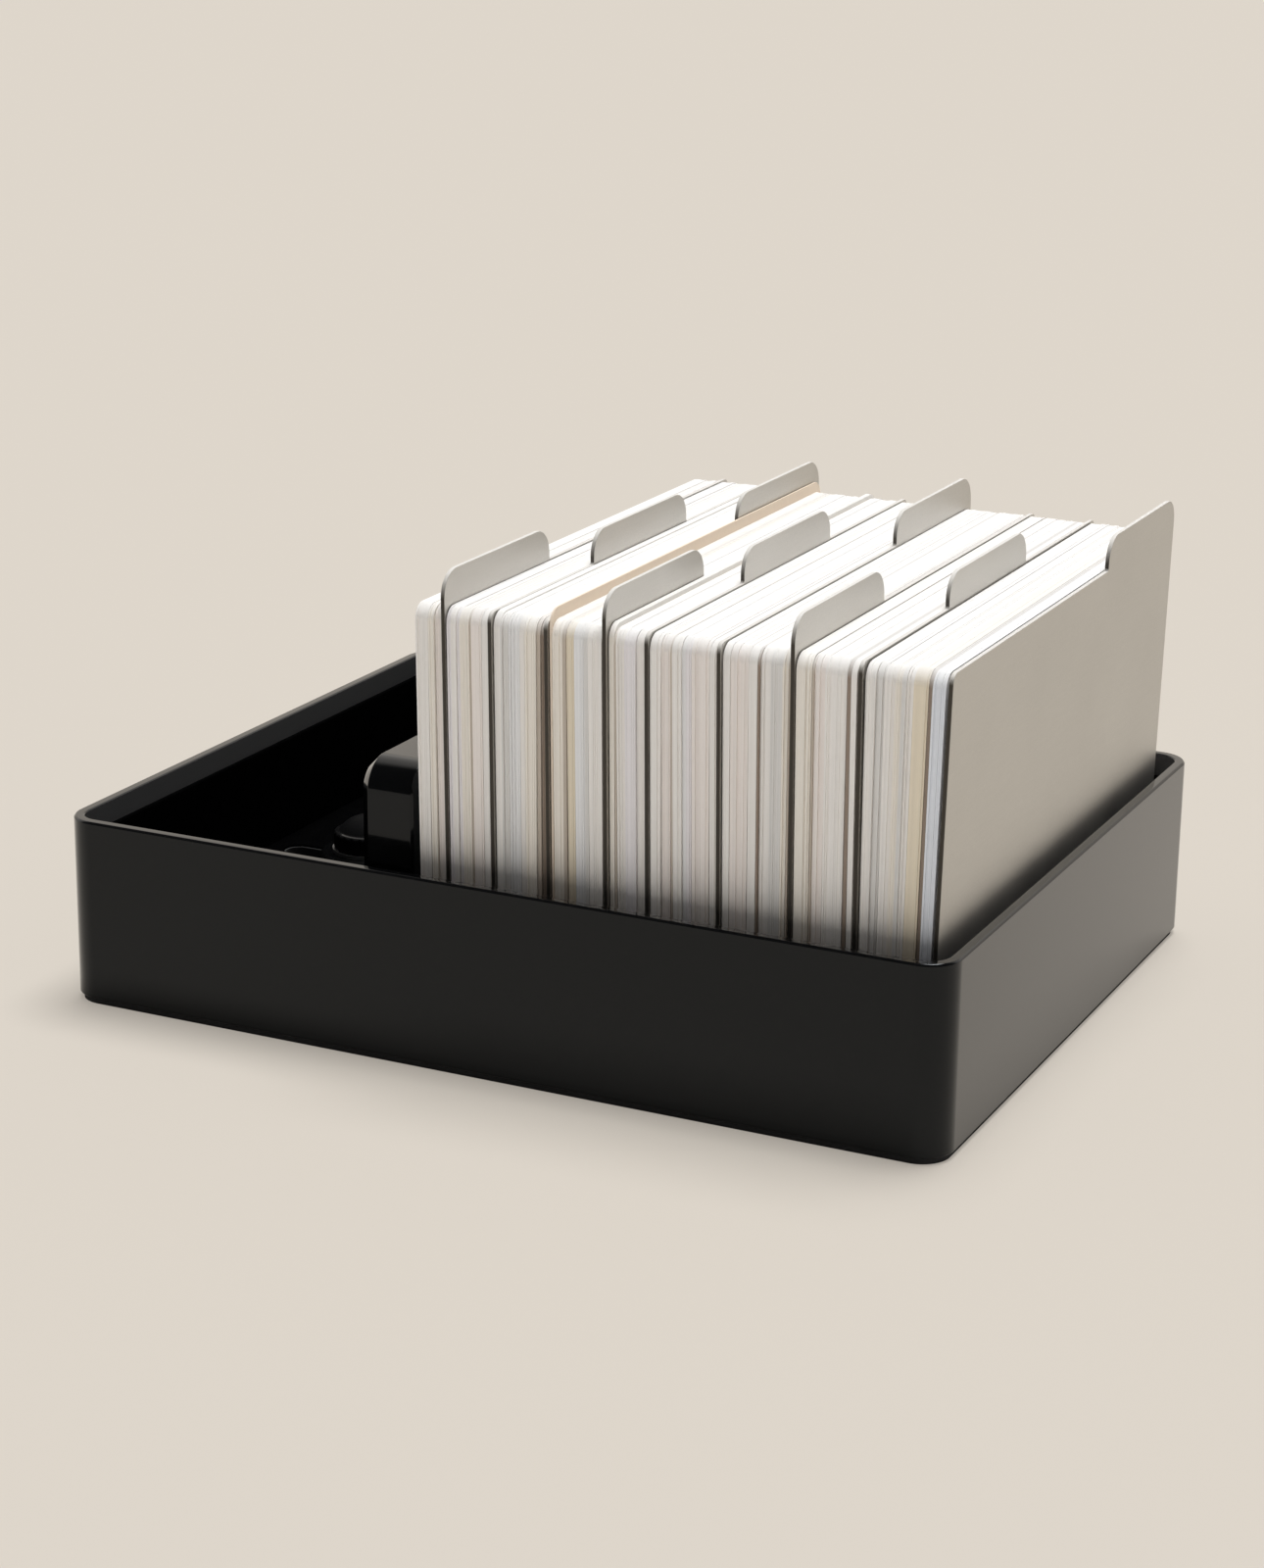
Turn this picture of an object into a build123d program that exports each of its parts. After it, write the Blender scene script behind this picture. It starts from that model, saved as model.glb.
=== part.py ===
from build123d import *
from math import cos, radians, sin
import os

# Index card box: a shallow metal tray with a raised slotted floor, a follower block that is
# clamped in the slot, and sheet dividers between packs of cards.
# Millimetres. +X runs along the tray towards the last divider, +Z is up, and the origin is
# on the table under the middle of the tray.

os.makedirs("parts", exist_ok=True)

# Cards
card_width = 127.0
card_height = 76.2
card_corner = 3.0
bundle_thickness = 3.4
bundle_gap = 0.1
cut_tolerance = 0.3
cut_rhythm = 2.4
setback_tolerance = 0.4
setback_rhythm = 1.7

# How the cards share the room between the dividers, in parts, from the follower on
pack_shares = (5.1, 8.25, 10.15, 10.4, 7.0, 12.8, 12.75, 10.95, 13.4)

# Dividers
divider_thickness = 0.8
divider_overhang = 0.5
shoulder_rise = 0.2
tab_rise = 6.4
tab_corner = 5.0
tab_foot_fillet = 0.5
shoulder_corner = 2.0
lower_corner = 3.0

# Lean of the standing sheets, in degrees, positive towards +X
stack_lean = -1.0
last_lean = 1.0
fan_sharpness = 12

# Tray walls
tray_length = 185.0
tray_height = 38.0
tray_corner = 6.6
wall = 2.2
side_clearance = 5.5
rim_chamfer = 0.4
rim_inner_chamfer = 0.25
lower_chamfer = 0.3

# Base
pad_thickness = 1.2
pad_inset = 0.8
base_thickness = 2.0

# Raised floor
lug_size = 12.0
lug_height = 6.0
lug_root = 0.1
floor_thickness = 2.0
felt_thickness = 0.6
felt_slot_margin = 0.4

# Wall liner
liner_thickness = 1.0
liner_drop = 4.5

# Countersunk screws
screw_radius = 1.45
screw_head_radius = 2.8
screw_head_height = 1.5
screw_length = 4.6
socket_width = 2.0
socket_depth = 1.0
foot_screw_length = 8.0

# Follower
block_thickness = 13.4
block_height = 41.9
block_side_inset = 0.3
block_corner = 6.5
block_chamfer = 2.1
foot_thickness = 2.2
small_chamfer = 0.4
tongue_radius = 10.0
tongue_reach = 47.8
tongue_fillet = 5.0
foot_screw_spacing = 32.0
foot_screw_count = 4
follower_travel = 13.6

# Clamp
stud_radius = 2.5
stud_grip = 4.3
slot_width = 5.6
nut_length = 14.0
nut_width = 9.0
nut_height = 3.2
nut_key_height = 1.6
nut_key_length = 7.0
nut_key_width = 5.2
washer_radius = 7.5
washer_thickness = 0.8
knob_radius = 7.2
knob_rim_height = 3.6
knob_dome_height = 3.3
knob_dome_radius = 6.2
flute_radius = 0.6
flute_count = 24

# Clearances
fit_gap = 0.1
glue_gap = 0.05
thread_gap = 0.05
stud_hole_gap = 0.3
seat_gap = 0.1
slide_gap = 0.1
stack_gap = 0.3
wall_gap = 2.7

# Sizes that follow from the ones above
divider_count = len(pack_shares)
divider_width = card_width + 2 * divider_overhang
liner_inset = glue_gap + liner_thickness
inner_length = tray_length - 2 * wall
inner_width = divider_width + 2 * (side_clearance + liner_inset)
tray_width = inner_width + 2 * wall
inner_corner = tray_corner - wall
plate_length = inner_length - 2 * fit_gap
plate_width = inner_width - 2 * fit_gap
plate_corner = inner_corner - fit_gap
lined_length = inner_length - 2 * liner_inset
lined_width = inner_width - 2 * liner_inset
lined_corner = inner_corner - liner_inset

base_z = pad_thickness
lug_z = base_z + base_thickness
floor_plate_z = lug_z + lug_height
felt_z = floor_plate_z + floor_thickness
floor_z = felt_z + felt_thickness

foot_z = floor_z + slide_gap
block_z = foot_z + foot_thickness
washer_z = block_z + glue_gap
knob_z = washer_z + washer_thickness + fit_gap
nut_top_z = floor_plate_z - slide_gap
nut_z = nut_top_z - nut_height
stud_top_z = knob_z + stud_grip

tongue_end_x = -lined_length / 2 + stack_gap + follower_travel
stud_x = tongue_end_x + tongue_radius
block_x = stud_x + tongue_reach - block_thickness
block_right_x = block_x + block_thickness
block_width = card_width - 2 * block_side_inset
stack_right_x = lined_length / 2 - wall_gap
slot_end_room = (nut_key_length + slot_width) / 2
slot_left_x = stud_x - follower_travel - slot_end_room
slot_right_x = stud_x + (stack_right_x - block_right_x) - divider_thickness + slot_end_room
slot_length = slot_right_x - slot_left_x
slot_x = (slot_left_x + slot_right_x) / 2

shoulder_height = card_height + shoulder_rise
tab_height = shoulder_height + tab_rise
tab_width = divider_width / 3

# Screw places: the four corners and the middle of both long sides
lug_x = inner_length / 2 + lug_root - lug_size / 2
lug_y = inner_width / 2 + lug_root - lug_size / 2
lug_places = [(x, y) for x in (-lug_x, 0, lug_x) for y in (-lug_y, lug_y)]
foot_screw_x = block_x + block_thickness / 2
foot_screw_start_y = -foot_screw_spacing * (foot_screw_count - 1) / 2
foot_screw_places = [
    (foot_screw_x, foot_screw_start_y + foot_screw_spacing * i) for i in range(foot_screw_count)
]
tapped_radius = screw_radius + thread_gap
head_seat_radius = screw_head_radius + fit_gap


def facing_up(places, z):
    """Locations on a surface at height z, with their own Z axis up."""
    return [Location((x, y, z)) for x, y in places]


def facing_down(places, z):
    """Locations on an underside at height z, with their own Z axis down."""
    return [Location((x, y, z), (180, 0, 0)) for x, y in places]


def lean_of(place):
    """Lean in degrees of a sheet that stands this many dividers along the stack."""
    share = place / divider_count
    return stack_lean + (last_lean - stack_lean) * share**fan_sharpness


def sheet_plane(x, lean):
    """Left face of a standing sheet: sketch x along the tray's width, sketch y up the sheet."""
    angle = radians(lean)
    origin = (x, 0, floor_z + seat_gap)
    return Plane(origin=origin, x_dir=(0, 1, 0), z_dir=(cos(angle), 0, -sin(angle)))


def countersunk_screw(length):
    """Screw with its head's flat top at the origin and its shank along -Z."""
    with BuildPart() as screw:
        Cone(
            screw_radius,
            screw_head_radius,
            screw_head_height,
            align=(Align.CENTER, Align.CENTER, Align.MAX),
        )
        Cylinder(screw_radius, length, align=(Align.CENTER, Align.CENTER, Align.MAX))
        with BuildSketch(Plane.XY):
            RegularPolygon(socket_width / 2, 6, major_radius=False)
        extrude(amount=-socket_depth, mode=Mode.SUBTRACT)
    return screw.part


def is_shoulder(corner):
    """True for the corners at the height of a divider's shoulder."""
    return abs(corner.Y - shoulder_height) < fit_gap


def is_outer_corner(corner):
    """True for the corners at a divider's front and back edges."""
    return abs(corner.X) > divider_width / 2 - fit_gap


def is_inner_corner(corner):
    """True for the corners at a tab's foot, a third of the width from an edge."""
    return abs(abs(corner.X) - tab_width / 2) < fit_gap


def is_foot_end(corner):
    """True for the foot's corners under the ends of the block."""
    return abs(corner.Y) > block_width / 2 - fit_gap


def is_tongue_root(corner):
    """True for the corners where the tongue meets the plate under the block."""
    return abs(corner.X - block_x) < fit_gap and abs(corner.Y) < tongue_radius + fit_gap


def is_tongue_edge(edge):
    """True for the edges of the tongue, away from the block."""
    return edge.center().X < block_x - fit_gap


def hand_in(builder, label):
    """Label a finished piece and write it."""
    builder.part.label = label
    export_step(builder.part, f"parts/{label}.step")


# Tray walls, with lugs inside for the base and the raised floor
with BuildPart() as tray_frame:
    with BuildSketch(Plane.XY.offset(base_z)):
        RectangleRounded(tray_length, tray_width, tray_corner)
        RectangleRounded(inner_length, inner_width, inner_corner, mode=Mode.SUBTRACT)
    extrude(amount=tray_height - base_z)
    rim_face = tray_frame.faces().sort_by(Axis.Z)[-1]
    chamfer(rim_face.outer_wire().edges(), length=rim_chamfer)
    rim_face = tray_frame.faces().sort_by(Axis.Z)[-1]
    chamfer(rim_face.inner_wires()[0].edges(), length=rim_inner_chamfer)
    lower_face = tray_frame.faces().sort_by(Axis.Z)[0]
    chamfer(lower_face.outer_wire().edges(), length=lower_chamfer)
    with BuildSketch(Plane.XY.offset(lug_z)):
        with Locations(*lug_places):
            Rectangle(lug_size, lug_size)
        rooted_length = inner_length + 2 * lug_root
        rooted_width = inner_width + 2 * lug_root
        RectangleRounded(rooted_length, rooted_width, inner_corner + lug_root, mode=Mode.INTERSECT)
    extrude(amount=lug_height)
    with Locations(*facing_up(lug_places, lug_z + lug_height)):
        Hole(radius=tapped_radius, depth=lug_height)
hand_in(tray_frame, "tray_frame")

# Plate that closes the underside, let in between the walls
with BuildPart() as base_plate:
    with BuildSketch(Plane.XY.offset(base_z)):
        RectangleRounded(plate_length, plate_width, plate_corner)
    extrude(amount=base_thickness)
    with Locations(*facing_down(lug_places, base_z)):
        CounterSinkHole(tapped_radius, head_seat_radius, depth=base_thickness)
hand_in(base_plate, "base_plate")

with BuildPart() as base_screws:
    with Locations(*facing_down(lug_places, base_z)):
        add(countersunk_screw(screw_length))
hand_in(base_screws, "base_screws")

# Thin rubber sheet under the whole box
pad_length = tray_length - 2 * pad_inset
pad_width = tray_width - 2 * pad_inset
with BuildPart() as base_pad:
    with BuildSketch(Plane.XY):
        RectangleRounded(pad_length, pad_width, tray_corner - pad_inset)
    extrude(amount=pad_thickness)
hand_in(base_pad, "base_pad")

# Raised floor with the slot that guides the clamp
with BuildPart() as floor_plate:
    with BuildSketch(Plane.XY.offset(floor_plate_z)):
        RectangleRounded(plate_length, plate_width, plate_corner)
        with Locations((slot_x, 0)):
            SlotOverall(slot_length, slot_width, mode=Mode.SUBTRACT)
    extrude(amount=floor_thickness)
    with Locations(*facing_up(lug_places, felt_z)):
        CounterSinkHole(tapped_radius, head_seat_radius, depth=floor_thickness)
hand_in(floor_plate, "floor_plate")

with BuildPart() as floor_screws:
    with Locations(*facing_up(lug_places, felt_z)):
        add(countersunk_screw(screw_length))
hand_in(floor_screws, "floor_screws")

# Felt on the raised floor
felt_length = lined_length - 2 * glue_gap
felt_width = lined_width - 2 * glue_gap
felt_slot_length = slot_length + 2 * felt_slot_margin
felt_slot_width = slot_width + 2 * felt_slot_margin
with BuildPart() as floor_liner:
    with BuildSketch(Plane.XY.offset(felt_z)):
        RectangleRounded(felt_length, felt_width, lined_corner - glue_gap)
        with Locations((slot_x, 0)):
            SlotOverall(felt_slot_length, felt_slot_width, mode=Mode.SUBTRACT)
    extrude(amount=felt_thickness)
hand_in(floor_liner, "floor_liner")

# Felt round the inside of the walls, ending below the rim
liner_outer_length = inner_length - 2 * glue_gap
liner_outer_width = inner_width - 2 * glue_gap
with BuildPart() as wall_liner:
    with BuildSketch(Plane.XY.offset(felt_z)):
        RectangleRounded(liner_outer_length, liner_outer_width, inner_corner - glue_gap)
        RectangleRounded(lined_length, lined_width, lined_corner, mode=Mode.SUBTRACT)
    extrude(amount=tray_height - liner_drop - felt_z)
hand_in(wall_liner, "wall_liner")

# Follower block: a thick plate across the tray with rounded upper corners
with BuildPart() as follower_block:
    with BuildSketch(Plane.YZ.offset(block_x)) as block_outline:
        with Locations((0, block_z)):
            Rectangle(block_width, block_height, align=(Align.CENTER, Align.MIN))
        fillet(block_outline.vertices().group_by(Axis.Y)[-1], radius=block_corner)
    extrude(amount=block_thickness)
    broad_faces = follower_block.faces().filter_by(Axis.X)
    lower_edges = follower_block.faces().sort_by(Axis.Z)[0].edges()
    showing_edges = [edge for edge in broad_faces.edges() if edge not in lower_edges]
    chamfer(showing_edges, length=block_chamfer)
    with Locations(*facing_down(foot_screw_places, block_z)):
        Hole(radius=tapped_radius, depth=foot_screw_length - foot_thickness + fit_gap)
hand_in(follower_block, "follower_block")

# Foot under the block, with a rounded tongue for the clamp
with BuildPart() as follower_foot:
    with BuildSketch(Plane.XY.offset(foot_z)) as foot_outline:
        with Locations((block_x, 0)):
            Rectangle(block_thickness, block_width, align=(Align.MIN, Align.CENTER))
        with Locations((stud_x, 0)):
            Circle(tongue_radius)
            Rectangle(block_x - stud_x, 2 * tongue_radius, align=(Align.MIN, Align.CENTER))
        fillet(foot_outline.vertices().filter_by(is_tongue_root), radius=tongue_fillet)
        chamfer(foot_outline.vertices().filter_by(is_foot_end), length=block_chamfer)
    extrude(amount=foot_thickness)
    upper_edges = follower_foot.faces().sort_by(Axis.Z)[-1].edges()
    chamfer(upper_edges.filter_by(is_tongue_edge), length=small_chamfer)
    with Locations((stud_x, 0, block_z)):
        Hole(radius=stud_radius + stud_hole_gap, depth=foot_thickness)
    with Locations(*facing_down(foot_screw_places, foot_z)):
        CounterSinkHole(tapped_radius, head_seat_radius, depth=foot_thickness)
hand_in(follower_foot, "follower_foot")

with BuildPart() as foot_screws:
    with Locations(*facing_down(foot_screw_places, foot_z)):
        add(countersunk_screw(foot_screw_length))
hand_in(foot_screws, "foot_screws")

# Clamp nut under the raised floor, kept straight by a key in the slot
with BuildPart() as slide_nut:
    with BuildSketch(Plane.XY.offset(nut_z)):
        with Locations((stud_x, 0)):
            Rectangle(nut_length, nut_width)
    extrude(amount=nut_height)
    with BuildSketch(Plane.XY.offset(nut_top_z)):
        with Locations((stud_x, 0)):
            Rectangle(nut_key_length, nut_key_width)
    extrude(amount=nut_key_height)
    with Locations((stud_x, 0, nut_top_z + nut_key_height)):
        Hole(radius=stud_radius + thread_gap)
hand_in(slide_nut, "slide_nut")

with BuildPart() as clamp_stud:
    with BuildSketch(Plane.XY.offset(nut_z)):
        with Locations((stud_x, 0)):
            Circle(stud_radius)
    extrude(amount=stud_top_z - nut_z)
    chamfer(clamp_stud.edges().filter_by(GeomType.CIRCLE), length=small_chamfer)
hand_in(clamp_stud, "clamp_stud")

with BuildPart() as clamp_washer:
    with BuildSketch(Plane.XY.offset(washer_z)):
        with Locations((stud_x, 0)):
            Circle(washer_radius)
            Circle(stud_radius + stud_hole_gap, mode=Mode.SUBTRACT)
    extrude(amount=washer_thickness)
hand_in(clamp_washer, "clamp_washer")

# Thumb knob: a fluted grip rim under a domed cap, turned about the stud
rim_top = knob_rim_height
dome_top = knob_rim_height + knob_dome_height
dome_curve = (knob_dome_radius**2 + knob_dome_height**2) / (2 * knob_dome_height)
knob_plane = Plane(origin=(stud_x, 0, knob_z), x_dir=(1, 0, 0), z_dir=(0, -1, 0))
with BuildPart() as clamp_knob:
    with BuildSketch(knob_plane) as knob_profile:
        with BuildLine():
            Line((0, 0), (knob_radius, 0))
            Line((knob_radius, 0), (knob_radius, rim_top))
            Line((knob_radius, rim_top), (knob_dome_radius, rim_top))
            RadiusArc((knob_dome_radius, rim_top), (0, dome_top), -dome_curve)
            Line((0, dome_top), (0, 0))
        make_face()
        outer_corners = knob_profile.vertices().group_by(Axis.X)[-1]
        chamfer(outer_corners, length=small_chamfer)
    revolve(axis=Axis((stud_x, 0, 0), (0, 0, 1)))
    with Locations((stud_x, 0, knob_z + rim_top / 2)):
        with PolarLocations(knob_radius + flute_radius / 2, flute_count):
            Cylinder(flute_radius, rim_top + fit_gap, mode=Mode.SUBTRACT)
    with Locations(Location((stud_x, 0, knob_z), (180, 0, 0))):
        Hole(radius=stud_radius + thread_gap, depth=stud_grip + fit_gap)
hand_in(clamp_knob, "clamp_knob")

# Room for the cards between the follower and the last divider, shared out in pack_shares
stack_room = stack_right_x - block_right_x - stack_gap * (2 * divider_count)
lean_run = (block_z + block_height - floor_z) * sin(radians(-stack_lean))
cards_room = stack_room - divider_count * divider_thickness - lean_run
x = block_right_x + stack_gap + lean_run

for number, share in enumerate(pack_shares, start=1):
    pack_thickness = cards_room * share / sum(pack_shares)
    bundle_count = max(2, round(pack_thickness / bundle_thickness))
    bundle = (pack_thickness - bundle_gap * (bundle_count - 1)) / bundle_count
    with BuildPart() as card_pack:
        for i in range(bundle_count):
            lean = lean_of(number - 1 + (i + 0.5) / bundle_count)
            trim = cut_tolerance * (1 + sin(cut_rhythm * i + number)) / 2
            setback = setback_tolerance * sin(setback_rhythm * i + 2 * number)
            with BuildSketch(sheet_plane(x, lean)) as card_outline:
                with Locations((setback, 0)):
                    Rectangle(card_width, card_height - trim, align=(Align.CENTER, Align.MIN))
                fillet(card_outline.vertices(), radius=card_corner)
            extrude(amount=bundle)
            x += bundle / cos(radians(lean)) + bundle_gap
    hand_in(card_pack, f"card_pack_{number}")
    x += stack_gap - bundle_gap

    tab_y = ((number - 1) % 3 - 1) * tab_width
    with BuildPart() as divider:
        with BuildSketch(sheet_plane(x, lean_of(number))) as outline:
            Rectangle(divider_width, shoulder_height, align=(Align.CENTER, Align.MIN))
            with Locations((tab_y, 0)):
                Rectangle(tab_width, tab_height, align=(Align.CENTER, Align.MIN))
            fillet(outline.vertices().group_by(Axis.Y)[-1], radius=tab_corner)
            fillet(outline.vertices().group_by(Axis.Y)[0], radius=lower_corner)
            shoulders = outline.vertices().filter_by(is_shoulder)
            fillet(shoulders.filter_by(is_outer_corner), radius=shoulder_corner)
            tab_feet = outline.vertices().filter_by(is_shoulder).filter_by(is_inner_corner)
            fillet(tab_feet, radius=tab_foot_fillet)
        extrude(amount=divider_thickness)
    hand_in(divider, f"divider_{number}")
    x += divider_thickness + stack_gap
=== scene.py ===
import random
from math import atan2, ceil, cos, pi, radians, sin, tan

import bmesh
import bpy
from bpy.props import FloatProperty, FloatVectorProperty, IntProperty, PointerProperty
from mathutils import Matrix, Vector, noise


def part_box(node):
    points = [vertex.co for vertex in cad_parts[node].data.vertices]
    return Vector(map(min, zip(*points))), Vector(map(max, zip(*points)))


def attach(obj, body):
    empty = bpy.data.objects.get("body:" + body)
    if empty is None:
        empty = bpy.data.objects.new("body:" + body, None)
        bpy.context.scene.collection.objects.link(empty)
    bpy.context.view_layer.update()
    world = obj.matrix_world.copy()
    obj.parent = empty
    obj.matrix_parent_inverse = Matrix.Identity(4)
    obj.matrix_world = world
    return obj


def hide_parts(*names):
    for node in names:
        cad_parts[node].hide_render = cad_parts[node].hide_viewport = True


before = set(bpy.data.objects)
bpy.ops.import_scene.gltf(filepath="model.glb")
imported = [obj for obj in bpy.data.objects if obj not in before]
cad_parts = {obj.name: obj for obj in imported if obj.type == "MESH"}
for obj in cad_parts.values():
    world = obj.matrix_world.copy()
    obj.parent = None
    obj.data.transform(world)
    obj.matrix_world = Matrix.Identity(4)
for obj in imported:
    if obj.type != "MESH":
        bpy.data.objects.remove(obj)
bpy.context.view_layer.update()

bl_info = {
    "name": "Index card box",
    "version": (1, 0, 0),
    "blender": (4, 5, 0),
    "location": "3D View > Sidebar > Card Box",
    "description": "Walls, felt, follower, clamp, dividers and cards of an index card box, and its stage",
    "category": "Add Mesh",
}

PACK_COUNT = sum(name.startswith("card_pack_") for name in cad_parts)

# Runs of like cards in each pack, from the follower on, as (tint, share of the pack)
PACK_RUNS = (
    (("white", 11), ("cream", 5), ("pink", 6)),
    (("lilac", 3), ("white", 4), ("lilac", 3), ("cream", 6), ("tan", 1), ("pink", 8), ("white", 6)),
    (("white", 5), ("grey", 4), ("cool", 8), ("white", 4), ("cream", 7), ("tan", 3), ("brown", 2)),
    (("peach", 1), ("cream", 8), ("tan", 2), ("ivory", 5), ("cool", 7), ("grey", 3), ("white", 10)),
    (("cream", 4), ("tan", 1), ("white", 6), ("lilac", 7), ("white", 6)),
    (("white", 5), ("pink", 5), ("tan", 1), ("white", 4), ("cool", 2), ("lilac", 3), ("pink", 8),
     ("white", 4)),
    (("white", 4), ("pink", 9), ("white", 5), ("brown", 1), ("white", 6), ("grey", 5), ("cream", 3),
     ("tan", 1)),
    (("cream", 8), ("tan", 2), ("pink", 6), ("white", 12), ("brown", 2), ("white", 3)),
    (("white", 6), ("grey", 5), ("white", 5), ("cream", 4), ("grey", 2), ("white", 3), ("ivory", 9),
     ("brown", 2), ("blue", 7)),
)

# Runs that are cut taller than their neighbours: pack number, place of the run, extra height
TALL_RUNS = {(4, 0): 0.0021, (5, 0): 0.0008, (3, 0): 0.0003}


def length(name, description, default):
    """Property for a size in metres."""
    return FloatProperty(
        name=name,
        description=description,
        default=default,
        min=0,
        precision=5,
        unit="LENGTH",
        subtype="DISTANCE",
    )


def angle(name, description, degrees):
    """Property for an angle, given in degrees."""
    return FloatProperty(
        name=name, description=description, default=radians(degrees), unit="ROTATION", subtype="ANGLE"
    )


def colour(name, description, red, green, blue):
    """Property for a colour."""
    return FloatVectorProperty(
        name=name, description=description, default=(red, green, blue), min=0, soft_max=1, subtype="COLOR"
    )


def amount(name, description, default):
    """Property for a plain number."""
    return FloatProperty(name=name, description=description, default=default, min=0)


class TraySizes(bpy.types.PropertyGroup):
    """Sizes of the metal walls."""

    wall: length("Wall", "Thickness of the walls", 0.0022)
    corner: length("Corner", "Outer radius of the upright corners", 0.0066)
    rim_chamfer: length("Rim chamfer", "Chamfer round the outside of the rim", 0.0004)
    inner_chamfer: length("Inner chamfer", "Chamfer round the inside of the rim", 0.00025)
    lower_chamfer: length("Lower chamfer", "Chamfer round the lower edge", 0.0003)
    soft: length("Edge softness", "How far every sharp edge is rubbed round", 0.00006)
    lug: length("Lug", "Width of the lugs that carry the plates", 0.012)
    lug_height: length("Lug height", "Height of the lugs", 0.006)
    lug_root: length("Lug root", "How far a lug reaches into the wall", 0.0001)
    lug_bore: length("Lug bore", "Radius of the screw bore in a lug", 0.0015)


class FeltSizes(bpy.types.PropertyGroup):
    """Sizes of the felt."""

    wall_felt: length("Wall felt", "Thickness of the felt on the walls", 0.001)
    corner: length("Corner", "Outer radius of the wall felt's corners", 0.00435)
    pile: length("Pile", "Height of the felt's unevenness", 0.00007)
    pitch: length("Pitch", "Spacing of the points along the felt", 0.002)


class FollowerSizes(bpy.types.PropertyGroup):
    """Sizes of the follower block."""

    corner: length("Corner", "Radius of the upper corners", 0.0065)
    chamfer: length("Chamfer", "Chamfer along the broad faces", 0.0021)
    soft: length("Edge softness", "How far every sharp edge is rubbed round", 0.00012)


class KnobSizes(bpy.types.PropertyGroup):
    """Sizes of the thumb knob."""

    rim_height: length("Rim height", "Height of the fluted rim", 0.0036)
    dome_radius: length("Dome radius", "Radius of the domed cap", 0.0062)
    chamfer: length("Chamfer", "Chamfer above and below the flutes", 0.0004)
    flute_depth: length("Flute depth", "Depth of the flutes", 0.0003)
    flutes: IntProperty(name="Flutes", description="Number of flutes round the rim", default=24, min=3)
    bore: length("Bore", "Radius of the threaded bore", 0.00255)
    bore_depth: length("Bore depth", "Depth of the threaded bore", 0.0044)


class DividerSizes(bpy.types.PropertyGroup):
    """Sizes of the sheet dividers."""

    shoulder: length("Shoulder height", "Height of the sheet beside its tab", 0.0764)
    tab_corner: length("Tab corner", "Radius of the tab's upper corners", 0.005)
    tab_foot: length("Tab foot", "Radius where the tab meets the shoulder", 0.0005)
    shoulder_corner: length("Shoulder corner", "Radius of the upper corners beside the tab", 0.002)
    lower_corner: length("Lower corner", "Radius of the lower corners", 0.003)
    edge: length("Edge rounding", "Radius of the tumbled edges", 0.0001)


class CardSizes(bpy.types.PropertyGroup):
    """Sizes of the cards."""

    width: length("Width", "Width of a card, across the tray", 0.127)
    height: length("Height", "Height of a card", 0.0762)
    corner: length("Corner", "Radius of a card's corners", 0.003)
    thickness: length("Thickness", "Usual thickness of a card, for how many a pack holds", 0.00031)
    reach: length("Reach", "How far a pack reaches over the faces of its solids", 0.00012)
    run_step: length("Run step", "How far runs of cards stand out of line", 0.00035)
    card_step: length("Card step", "How far single cards stand out of line", 0.00018)
    trim: length("Trim", "How much shorter the shortest cards are cut", 0.0002)
    filling: amount("Filling", "Share of a pack's room that its cards fill at the foot", 0.86)
    head_filling: amount("Head filling", "Share that they fill at the head, where they have swollen", 0.975)
    run_gap: amount("Run gap", "Gap between runs, as a multiple of the gap between cards", 30)


class CardTints(bpy.types.PropertyGroup):
    """Colours of the card stock."""

    white: colour("White", "Plain white stock", 0.93, 0.885, 0.835)
    cool: colour("Cool white", "Bright white stock", 0.90, 0.885, 0.875)
    lilac: colour("Lilac white", "White stock with a lilac cast", 0.90, 0.855, 0.855)
    pink: colour("Pinkish white", "White stock with a pink cast", 0.93, 0.855, 0.80)
    grey: colour("Greyish white", "Recycled stock", 0.80, 0.77, 0.735)
    cream: colour("Cream", "Cream stock", 0.92, 0.855, 0.765)
    ivory: colour("Ivory", "Ivory stock", 0.88, 0.775, 0.61)
    peach: colour("Peach", "Peach stock", 0.90, 0.76, 0.62)
    tan: colour("Tan", "Kraft stock", 0.60, 0.515, 0.43)
    brown: colour("Brown", "Dark kraft stock", 0.34, 0.265, 0.21)
    blue: colour("Pale blue", "Pale blue stock", 0.84, 0.855, 0.895)
    # Painted highlight: the cards' upper edges and corners are paled towards the next tone, as far as the
    # setting after it says, standing in for the overhead light on them
    upper: colour("Upper edges", "Tone towards which the upper edges have faded", 0.90, 0.895, 0.885)
    fading: amount("Fading", "How far the upper edges have faded", 0.75)
    unevenness: amount("Unevenness", "How much darker than its stock a card may be", 0.07)


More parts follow.
